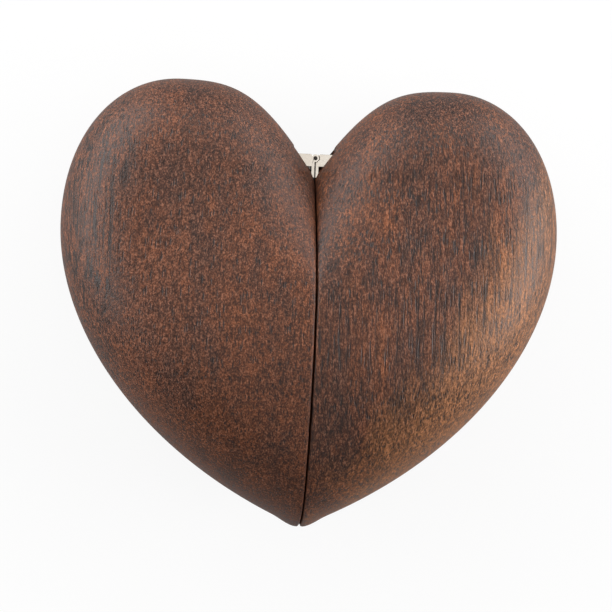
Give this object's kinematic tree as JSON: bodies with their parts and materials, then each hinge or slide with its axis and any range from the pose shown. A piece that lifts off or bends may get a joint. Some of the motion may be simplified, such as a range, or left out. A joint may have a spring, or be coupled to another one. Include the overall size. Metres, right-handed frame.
{
  "type": "wind-up music box",
  "caption": "Heart-shaped wooden keepsake box in two hinged halves, with a wind-up comb movement in one half and a ring cushion in the other.",
  "frame": {"origin": "middle of the heart's flat back, on the line where the two halves part, half way along its length", "axes": "+Z out of the domed front, +Y from the pointed tip to the two lobes, +X towards the cushion half"},
  "size_m": [0.104, 0.0928, 0.044],
  "materials": {
    "walnut": "satin oiled dark walnut",
    "hinge_metal": "satin warm nickel plating",
    "steel": "polished steel",
    "blued_steel": "blued steel",
    "brass": "satin brass",
    "cast_zinc": "as-cast zinc, bead blasted",
    "velvet": "short-pile velvet",
    "clear_sheet": "clear polished acrylic"
  },
  "bodies": {
    "left_half": {"left_shell": "walnut", "hinge_leaf_left": "hinge_metal", "hinge_pin": "steel", "hinge_screws_left": "hinge_metal", "magnet_left": "steel", "window": "clear_sheet", "window_screws": "brass", "bedplate": "cast_zinc", "movement_screws": "brass", "comb": "steel", "comb_screws": "blued_steel", "cylinder_bearings": "cast_zinc", "barrel_bridge": "cast_zinc", "bridge_screws": "blued_steel", "click_stud": "steel", "click_spring": "blued_steel", "governor_frame": "brass", "governor_screws": "blued_steel"},
    "right_half": {"right_shell": "walnut", "hinge_leaf_right": "hinge_metal", "hinge_screws_right": "hinge_metal", "magnet_right": "steel", "pocket_lining": "velvet", "cushion_front": "velvet", "cushion_back": "velvet"},
    "barrel": {"spring_barrel": "brass", "barrel_gear": "brass", "mainspring": "blued_steel"},
    "winding": {"winding_arbor": "steel", "ratchet_wheel": "steel", "winding_key": "brass"},
    "click_pawl": {"click": "steel"},
    "cylinder": {"cylinder_tube": "brass", "cylinder_pins": "brass", "cylinder_arbor": "steel", "cylinder_pinion": "brass", "cylinder_gear": "brass"},
    "governor": {"governor_arbor": "steel", "worm_wheel": "brass"},
    "fly": {"fly_worm": "steel", "fly_vane": "brass"},
    "plunger": {"stop_plunger": "brass"}
  },
  "joints": [
    {"name": "lid_hinge", "type": "hinge", "parent": "left_half", "child": "right_half", "pos_m": [0, 0.0312, 0.0198], "axis": [0, 0, 1], "range_deg": [0, 85]},
    {"name": "stop_slide", "type": "slide", "parent": "left_half", "child": "plunger", "axis": [1, 0, 0], "range_m": [0, 0.002]},
    {"name": "key_turn", "type": "hinge", "parent": "left_half", "child": "winding", "pos_m": [-0.0222, 0.0058, 0.006], "axis": [0, 0, 1], "continuous": true},
    {"name": "click_lift", "type": "hinge", "parent": "left_half", "child": "click_pawl", "pos_m": [-0.0126, -0.0005, 0.023], "axis": [0, 0, -1], "range_deg": [0, 6], "stiffness_Nm_per_rad": 0.0005},
    {"name": "barrel_turn", "type": "hinge", "parent": "left_half", "child": "barrel", "pos_m": [-0.0222, 0.0058, 0.018], "axis": [0, 0, 1], "continuous": true},
    {"name": "cylinder_turn", "type": "hinge", "parent": "left_half", "child": "cylinder", "pos_m": [-0.0222, -0.013, 0.025], "axis": [0, 1, 0], "continuous": true},
    {"name": "governor_turn", "type": "hinge", "parent": "left_half", "child": "governor", "pos_m": [-0.01601, -0.024, 0.02311], "axis": [0, 1, 0], "continuous": true},
    {"name": "fly_turn", "type": "hinge", "parent": "left_half", "child": "fly", "pos_m": [-0.01041, -0.024, 0.025], "axis": [0, 0, 1], "continuous": true}
  ],
  "couplings": [
    {"joint": "stop_slide", "follows": "lid_hinge", "m_per_rad": 0.0013},
    {"joint": "cylinder_turn", "follows": "barrel_turn", "ratio": -2.7},
    {"joint": "governor_turn", "follows": "barrel_turn", "ratio": 12.15},
    {"joint": "fly_turn", "follows": "barrel_turn", "ratio": 364.5}
  ]
}
